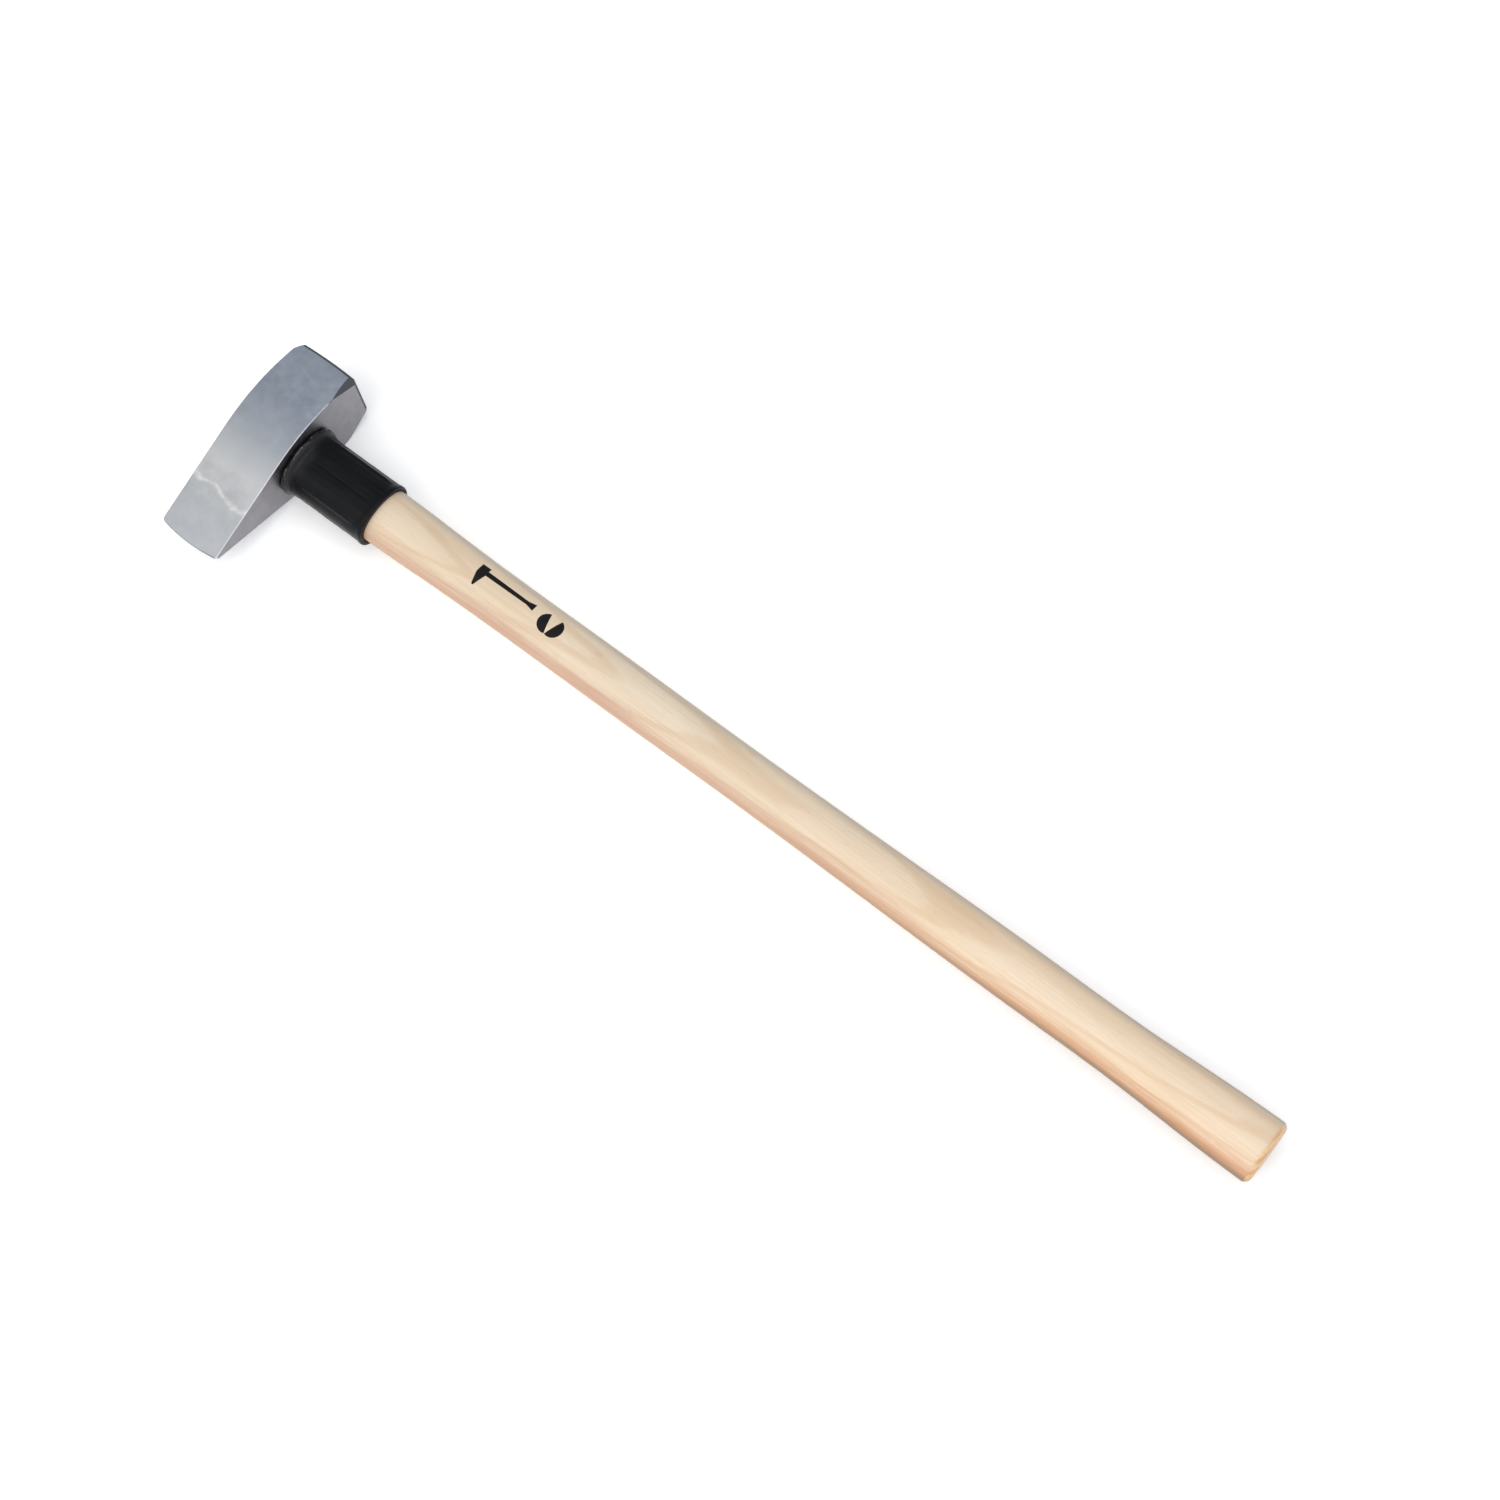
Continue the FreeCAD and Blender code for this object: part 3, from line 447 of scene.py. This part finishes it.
def ring_mesh(name, sections, around):
    """Join rings into a closed tube. sections gives for each ring a function of the angle."""
    mesh = bmesh.new()
    rows = [[mesh.verts.new(section(math.tau * step / around)) for step in range(around)]
            for section in sections]
    for row, ahead in zip(rows, rows[1:] + rows[:1]):
        for step in range(around):
            beside = (step + 1) % around
            mesh.faces.new((row[step], row[beside], ahead[beside], ahead[step]))
    bmesh.ops.recalc_face_normals(mesh, faces=mesh.faces)
    for face in mesh.faces:
        face.smooth = True
    data = bpy.data.meshes.new(name)
    mesh.to_mesh(data)
    mesh.free()
    piece = bpy.data.objects.new(name, data)
    bpy.context.scene.collection.objects.link(piece)
    return piece


# %% [markdown]
# ## The rubber sleeve
# The sleeve guards the wood below the head from overstrikes. It is injection moulded in black
# rubber: a lip flares out against the head, a hem ends it, a fine line runs along each broad
# side where the two halves of the mould met, and a low rib stiffens each narrow side.
# %% Sleeve: sizes from its solid
SEAT_WIDE, SEAT_THICK = 22.65 * MM, 15.05 * MM
WALL_SIDE, WALL_CROWN = 3.2 * MM, 4.3 * MM
LIP_SIDE, LIP_CROWN = 2.5 * MM, 4.2 * MM
SHIFT = -0.7 * MM              # the sleeve sits a little towards the cutting edge
SEAM_DEEP, SEAM_WIDE = 0.6 * MM, 0.8 * MM
RIB_HIGH, RIB_WIDE = 0.9 * MM, 1.1 * MM
RIB_PLACE, SEAM_ASIDE = 0.80, 1.5 * MM     # a share of the half width, and off the middle
CLEAR_OF_LIP, CLEAR_OF_HEM, FADE = 9, 6, 6  # mm: where seam and ribs start, end and fade
WAVER, WAVER_LONG = 0.16 * MM, 9       # moulded rubber is never quite straight
AROUND_SLEEVE = 288
sleeve_start, sleeve_end = rubber_low.x, rubber_high.x
sleeve_long = sleeve_end - sleeve_start

SLEEVE_PROFILE = [             # distance from the head end in mm, share of the lip, extra in mm
    (0.0, 0.55, -0.2), (0.4, 0.84, 0.0), (1.1, 1.0, 0.0), (2.0, 1.0, 0.1), (2.8, 0.86, 0.1),
    (3.4, 0.66, 0.0), (4.1, 0.47, 0.0), (5.0, 0.36, 0.0), (6.2, 0.28, 0.0), (7.8, 0.17, 0.0),
    (9.8, 0.07, 0.0), (12.2, 0.0, 0.0)]


def body_rings():
    """Evenly spaced rings down the plain body, then the hem's."""
    last = sleeve_long / MM
    first = SLEEVE_PROFILE[-1][0]
    steps = 26
    plain = [(first + (last - 4.6 - first) * n / steps, 0.0, 0.0) for n in range(1, steps + 1)]
    return plain + [(last - 3.9, 0.0, 0.15), (last - 3.2, 0.0, 0.32), (last - 2.2, 0.0, 0.35),
                    (last - 0.9, 0.0, 0.35), (last - 0.3, 0.0, 0.2), (last, 0.0, -0.2)]


def bump_at(distance, width):
    """A smooth hump of height one, so many metres wide to each side."""
    return math.exp(-(distance / width) ** 2)


def fade_in(distance):
    """Nought to one over the length of the fade."""
    return min(1.0, max(0.0, distance / FADE))


def sleeve_section(along, lip, extra):
    """One outer ring of the sleeve, with its seam and its ribs."""
    clear = fade_in(along - CLEAR_OF_LIP) * fade_in(sleeve_long / MM - CLEAR_OF_HEM - along)

    def at(angle):
        out_y = SEAT_WIDE + WALL_SIDE + LIP_SIDE * lip + extra * MM
        out_z = SEAT_THICK + WALL_CROWN + LIP_CROWN * lip + extra * MM
        y, z = oval_point(angle, out_y, out_z, BLUNT)
        outward = Vector((0, y / out_y ** 2, z / out_z ** 2)).normalized()
        broad = abs(z) / out_z
        change = -SEAM_DEEP * bump_at(y + SEAM_ASIDE, SEAM_WIDE) * clear if broad > 0.8 else 0.0
        change += RIB_HIGH * bump_at(abs(y) - out_y * RIB_PLACE, RIB_WIDE) * clear
        spot = Vector((along / WAVER_LONG, y / (WAVER_LONG * MM), z / (WAVER_LONG * MM)))
        change += WAVER * noise.noise(spot)
        x = sleeve_start + along * MM
        return Vector((x, AXIS_Y + SHIFT + y, AXIS_Z + z)) + outward * change
    return at


def bore_section(along):
    """One inner ring, where the rubber grips the wood."""
    def at(angle):
        y, z = oval_point(angle, SEAT_WIDE, SEAT_THICK, 2)
        return Vector((sleeve_start + along * MM, AXIS_Y + y, AXIS_Z + z))
    return at


# %% Sleeve: mesh
outer = [sleeve_section(*row) for row in SLEEVE_PROFILE + body_rings()]
bore = [bore_section(sleeve_long / MM - 0.3), bore_section(sleeve_long / MM / 2), bore_section(0.3)]
sleeve = ring_mesh("moulded_sleeve", outer + bore, AROUND_SLEEVE)
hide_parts("overstrike_sleeve")
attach(sleeve, "root")
print("sleeve: %d faces, %.1f mm long" % (len(sleeve.data.polygons), sleeve_long / MM))

# %% [markdown]
# ## The roll of sealant
# Before the head goes home, black sealant is laid round the tenon to keep water out of the eye.
# Driving the head squeezes it into an uneven roll that skins over and stays glossy. The lumps
# are shape, because they catch the light one by one, and seeded noise makes them the same in
# every run.
# %% Sealant: mesh
ROLL_SIDE, ROLL_CROWN = 2.3 * MM, 4.3 * MM
AROUND_ROLL, ROLL_STEPS = 240, 14
LUMP = 1.5 * MM
COARSE, FINE = 4.0, 17.0       # how many lumps and small puckers go round, roughly
FINE_SHARE, FINE_SEED = 0.45, 9
roll_start, roll_end = head_high.x, sleeve_start + 3.4 * MM


def roll_section(step):
    """One ring of the roll: the roll's cross section is a flattened round."""
    turn = math.tau * step / ROLL_STEPS

    def at(angle):
        c, s = math.cos(angle), math.sin(angle)
        lump = noise.noise(Vector((c * COARSE, s * COARSE, turn * 0.25))) * LUMP
        pucker = noise.noise(Vector((c * FINE + FINE_SEED, s * FINE, turn * 0.6)))
        lump += pucker * LUMP * FINE_SHARE
        middle = (roll_start + roll_end) / 2
        half = (roll_end - roll_start) / 2
        rise = (0.5 + 0.5 * math.cos(turn)) ** 0.8
        x = max(roll_start + 0.02 * MM, middle + math.sin(turn) * half + lump * 0.25)
        side = SEAT_WIDE + (WALL_SIDE + ROLL_SIDE) * rise + lump * rise
        crown = SEAT_THICK + (WALL_CROWN + ROLL_CROWN) * rise + lump * rise
        y, z = oval_point(angle, side, crown, 2.0 + 0.3 * rise)
        return Vector((x, AXIS_Y + y + SHIFT * rise, AXIS_Z + z))
    return at


sealant_roll = ring_mesh("sealant_roll", [roll_section(n) for n in range(ROLL_STEPS)], AROUND_ROLL)
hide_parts("sealant_bead")
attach(sealant_roll, "root")
print("sealant: %d faces" % len(sealant_roll.data.polygons))

# %% [markdown]
# ## Moulded rubber and skinned sealant
# Moulded rubber is near black and satin, because the mould was lightly blasted, and handling
# leaves faint streaks along it. Sealant wiped over the lip leaves it shinier, and the lip's lighter
# grey there is a painted sheen. Sealant cures with a wet-looking skin, so it has much the same
# black but a far lower roughness, which turns each lump into a small bright point.
# %% Rubber and sealant finishes
BLAST_GRAIN = 0.6 * MM         # the real grain is finer, but this is the finest that shows
SMEAR_FROM, SMEAR_TO = 4.2 * MM, 8.5 * MM    # where the wiped sealant on the lip runs out
LIP_GLOSS = 0.20

rubber, tree, surface = new_material("rubber_moulded_satin", IOR=1.5, Specular_IOR_Level=0.14)
place = add(tree, "TexCoord").outputs["Object"]
grain = add(tree, "TexNoise", {"Vector": place, "Scale": 1 / BLAST_GRAIN, "Detail": 3.0})
drawn = add(tree, "Mapping", {"Vector": place, "Scale": (0.08, 1.0, 1.0)})
smear = add(tree, "TexNoise", {"Vector": drawn.outputs["Vector"], "Scale": 1 / (3 * MM),
                               "Detail": 4.0})
black = add(tree, "ValToRGB", {"Fac": smear.outputs["Fac"]}, stops=[
    (0.30, linear("#08090b")), (0.72, linear("#121316"))])
satin = add(tree, "MapRange", {"Value": smear.outputs["Fac"], "From Min": 0.3, "From Max": 0.7,
                               "To Min": 0.30, "To Max": 0.44})
blasted = add(tree, "Bump", {"Height": grain.outputs["Fac"], "Strength": 0.25,
                             "Distance": 0.12 * MM})
# painted sheen: where sealant is wiped over the lip the colour turns lighter grey, while the lower
# roughness there is the sealant's real gloss
smear_and_sheen = add(tree, "MapRange", {
    "Value": add(tree, "Math", {0: smear.outputs["Fac"], 1: 3 * MM,
                                2: add(tree, "SeparateXYZ", {"Vector": place}).outputs["X"]},
                 operation="MULTIPLY_ADD").outputs["Value"],
    "From Min": sleeve_start + SMEAR_FROM, "From Max": sleeve_start + SMEAR_TO,
    "To Min": 1.0, "To Max": 0.0})
lip_painted_sheen = add(tree, "Mix", {"Factor": smear_and_sheen.outputs["Result"], 6: black.outputs["Color"],
                              7: linear("#2b2b2d")}, data_type="RGBA")
lip_gloss = add(tree, "Mix", {"Factor": smear_and_sheen.outputs["Result"],
                              2: satin.outputs["Result"], 3: LIP_GLOSS})
tree.links.new(lip_painted_sheen.outputs[2], surface.inputs["Base Color"])
tree.links.new(lip_gloss.outputs[0], surface.inputs["Roughness"])
tree.links.new(blasted.outputs["Normal"], surface.inputs["Normal"])
dress(sleeve, rubber)

sealant, tree, surface = new_material("sealant_cured_glossy", IOR=1.5, Specular_IOR_Level=0.6)
place = add(tree, "TexCoord").outputs["Object"]
pits = add(tree, "TexNoise", {"Vector": place, "Scale": 1 / (2.2 * MM), "Detail": 4.0,
                              "Roughness": 0.6})
pitch = add(tree, "ValToRGB", {"Fac": pits.outputs["Fac"]}, stops=[
    (0.35, linear("#0b0b0c")), (0.75, linear("#1b1b1c"))])
wet = add(tree, "MapRange", {"Value": pits.outputs["Fac"], "From Min": 0.3, "From Max": 0.7,
                             "To Min": 0.10, "To Max": 0.30})
puckered = add(tree, "Bump", {"Height": pits.outputs["Fac"], "Strength": 0.55,
                              "Distance": 0.6 * MM})
tree.links.new(pitch.outputs["Color"], surface.inputs["Base Color"])
tree.links.new(wet.outputs["Result"], surface.inputs["Roughness"])
tree.links.new(puckered.outputs["Normal"], surface.inputs["Normal"])
dress(sealant_roll, sealant)
print("finishes: satin rubber and glossy sealant")

# %% [markdown]
# ## The printed mark
# Such handles carry a small black print. Here it is a plain pictogram that says what the tool
# is for: a maul in outline, then a round log that has come apart in two. Ink is a thin layer
# with a crisp edge, so each shape is a thin closed sheet laid onto the wood's own surface.
# %% Mark: outlines in millimetres along and across the handle
INK_THICK = 0.06 * MM
MARK_START = head_low.x + 221 * MM
MARK_SIDE = AXIS_Y + 3.0 * MM
CUTS = ((0, 90), (1, 10))      # cut along and across, this many mm each way
CUT_ASIDE = 0.37               # keeps the cuts off the outlines' own corners


GAP = 2.6                      # mm from the split to each half


def half_log(centre, side, radius=8.0, steps=20, lean=0.30):
    """Half of a round log, leaning away from its other half so that the split opens upwards."""
    turns = [math.pi * (n / steps - 0.5) + lean for n in range(steps + 1)]
    return [(centre + side * (GAP + radius * math.cos(t - 2 * lean)),
             radius * math.sin(t - 2 * lean)) for t in turns]


MARK_SHAPES = [
    [(0.0, 8.4), (0.0, 1.0), (3.0, -9.0), (4.6, -9.0), (7.6, 1.0), (7.6, 8.4)],
    [(7.6, 1.8), (7.6, 5.6), (46.0, 5.2), (52.5, 6.6), (52.5, 0.8), (46.0, 2.2)],
    half_log(70.5, -1), half_log(70.5, 1)]
print("mark: %d shapes" % len(MARK_SHAPES))

# %% Mark: laid on the wood
wood_surface = BVHTree.FromObject(nodes["handle"], bpy.context.evaluated_depsgraph_get())


def drop(x, y):
    """The point of the wood's upper side over a place."""
    hit = wood_surface.ray_cast(Vector((x, y, cad_box[1][2] + 0.1)), Vector((0, 0, -1)))
    return hit[0]


def ink_patch(outline):
    """Cut an outline into small cells so that it can follow the round of the wood."""
    flat = bmesh.new()
    flat.faces.new([flat.verts.new((x, y, 0)) for x, y in outline])
    for axis, reach in CUTS:
        for mark in range(-reach, reach):
            every = flat.verts[:] + flat.edges[:] + flat.faces[:]
            normal = (1, 0, 0) if axis == 0 else (0, 1, 0)
            at = (mark + CUT_ASIDE, 0, 0) if axis == 0 else (0, mark + CUT_ASIDE, 0)
            bmesh.ops.bisect_plane(flat, geom=every, plane_co=at, plane_no=normal)
    for vert in flat.verts:
        vert.co = drop(MARK_START + vert.co.x * MM, MARK_SIDE + vert.co.y * MM)
        vert.co.z += INK_THICK * 0.5
    return flat


print("mark: wood lies %.1f mm up at its start" % (drop(MARK_START, MARK_SIDE).z / MM))

# %% Mark: one closed sheet of ink
joined = bmesh.new()
for outline in MARK_SHAPES:
    patch = ink_patch(outline)
    holder = bpy.data.meshes.new("patch")
    patch.to_mesh(holder)
    patch.free()
    joined.from_mesh(holder)
    bpy.data.meshes.remove(holder)
bmesh.ops.recalc_face_normals(joined, faces=joined.faces)
if sum(face.normal.z for face in joined.faces) < 0:
    bmesh.ops.reverse_faces(joined, faces=joined.faces)
ink_data = bpy.data.meshes.new("printed_mark")
joined.to_mesh(ink_data)
joined.free()
mark = bpy.data.objects.new("printed_mark", ink_data)
bpy.context.scene.collection.objects.link(mark)
solid = mark.modifiers.new("ink thickness", "SOLIDIFY")
solid.thickness = INK_THICK
solid.offset = 0.0
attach(mark, "root")

ink, tree, surface = new_material("ink_screen_printed", Roughness=0.6, IOR=1.45,
                                  Specular_IOR_Level=0.2)
place = add(tree, "TexCoord").outputs["Object"]
coverage = add(tree, "TexNoise", {"Vector": place, "Scale": 1 / (0.9 * MM), "Detail": 3.0})
ink_tone = add(tree, "ValToRGB", {"Fac": coverage.outputs["Fac"]}, stops=[
    (0.35, linear("#0f0d0e")), (0.80, linear("#201c1c"))])
tree.links.new(ink_tone.outputs["Color"], surface.inputs["Base Color"])
dress(mark, ink)
print("mark: %d faces of ink" % len(ink_data.polygons))

# %% [markdown]
# ## Floor and light
# The maul lies on an opal light table, which glows a little, so its shadow stays faint. Broad
# soft lights stand on the cutting edge's side and overhead, and the far side is left dimmer, so
# the ground cheek fades from bright at the blade to blue-grey at the poll, as ground metal does
# when it mirrors an uneven studio. Part of that fade is painted reflection in the cheek's own
# colours as well.
# %% Floor
FLOOR_HALF = 40.0
FLOOR_DROP = 0.2 * MM          # keeps the floor from touching the steel
sheet = bmesh.new()
corners = [(-FLOOR_HALF, -FLOOR_HALF), (FLOOR_HALF, -FLOOR_HALF), (FLOOR_HALF, FLOOR_HALF),
           (-FLOOR_HALF, FLOOR_HALF)]
sheet.faces.new([sheet.verts.new((x, y, cad_box[0][2] - FLOOR_DROP)) for x, y in corners])
floor_data = bpy.data.meshes.new("floor")
sheet.to_mesh(floor_data)
sheet.free()
floor = bpy.data.objects.new("floor", floor_data)
bpy.context.scene.collection.objects.link(floor)
paper, tree, surface = new_material("light_table_opal_white", Roughness=0.95,
                                    Specular_IOR_Level=0.1, Emission_Color=linear("#ffffff"),
                                    Emission_Strength=0.22)
surface.inputs["Base Color"].default_value = linear("#ffffff")
dress(floor, paper)

# %% Light
DIM_SIDE, BRIGHT_SIDE = 0.75, -0.35    # where the dome is dimmest and brightest, across the maul
DOME_STRENGTH = 0.85

studio = bpy.data.worlds.new("studio")
bpy.context.scene.world = studio
studio.use_nodes = True
tree = studio.node_tree
sky = add(tree, "SeparateXYZ", {"Vector": add(tree, "TexCoord").outputs["Generated"]}).outputs
towards_edge = add(tree, "MapRange", {"Value": sky["Y"], "From Min": DIM_SIDE,
                                      "From Max": BRIGHT_SIDE})
dome = add(tree, "ValToRGB", {"Fac": towards_edge.outputs["Result"]}, stops=[
    (0.0, linear("#adb2ba")), (1.0, linear("#fbfbfb")), (0.45, linear("#d3d6da"))])
backdrop = tree.nodes["Background"]
tree.links.new(dome.outputs["Color"], backdrop.inputs["Color"])
backdrop.inputs["Strength"].default_value = DOME_STRENGTH


def softbox(name, stand, size, power):
    """A rectangular studio light on a stand, turned to the middle of the handle."""
    light = bpy.data.lights.new(name, "AREA")
    light.shape = "RECTANGLE"
    light.size, light.size_y = size
    light.energy = power
    lamp = bpy.data.objects.new(name, light)
    lamp.location = stand
    lamp.rotation_euler = (-Vector(stand)).to_track_quat("-Z", "Y").to_euler()
    bpy.context.scene.collection.objects.link(lamp)


softbox("edge_side_softbox", stand=(-0.3, -1.5, 2.3), size=(2.2, 1.4), power=15)
softbox("overhead_softbox", stand=(0.2, 0.1, 2.8), size=(2.4, 1.8), power=24)
print("light: a dome and two softboxes")

# %% [markdown]
# ## Camera
# The maul lies on its cheek and is seen from high above, a little towards the butt and the
# cutting edge, so that it crosses the frame from upper left to lower right.
# %% Camera
TARGET = Vector((0.0041, 0.03635, 0.0333))
DISTANCE = 2.063
SWING, HEIGHT, ROLL = (math.radians(degrees) for degrees in (50.86, 69.50, 13.26))
LENS, SENSOR = 70.26, 36
back = Vector((math.sin(SWING) * math.cos(HEIGHT), -math.cos(SWING) * math.cos(HEIGHT),
               math.sin(HEIGHT)))
lens = bpy.data.cameras.new("camera")
lens.lens = LENS
lens.sensor_width = SENSOR
viewer = bpy.data.objects.new("camera", lens)
viewer.rotation_mode = "QUATERNION"
viewer.location = TARGET + back * DISTANCE
rolled = Matrix.Rotation(-ROLL, 4, "Z").to_quaternion()
viewer.rotation_quaternion = (-back).to_track_quat("-Z", "Y") @ rolled
bpy.context.scene.collection.objects.link(viewer)
bpy.context.scene.camera = viewer
bpy.context.scene.view_settings.view_transform = "Standard"
print("camera %.2f m away" % DISTANCE)

# %% [markdown]
# ## The end
# %% The end
print("scene built")
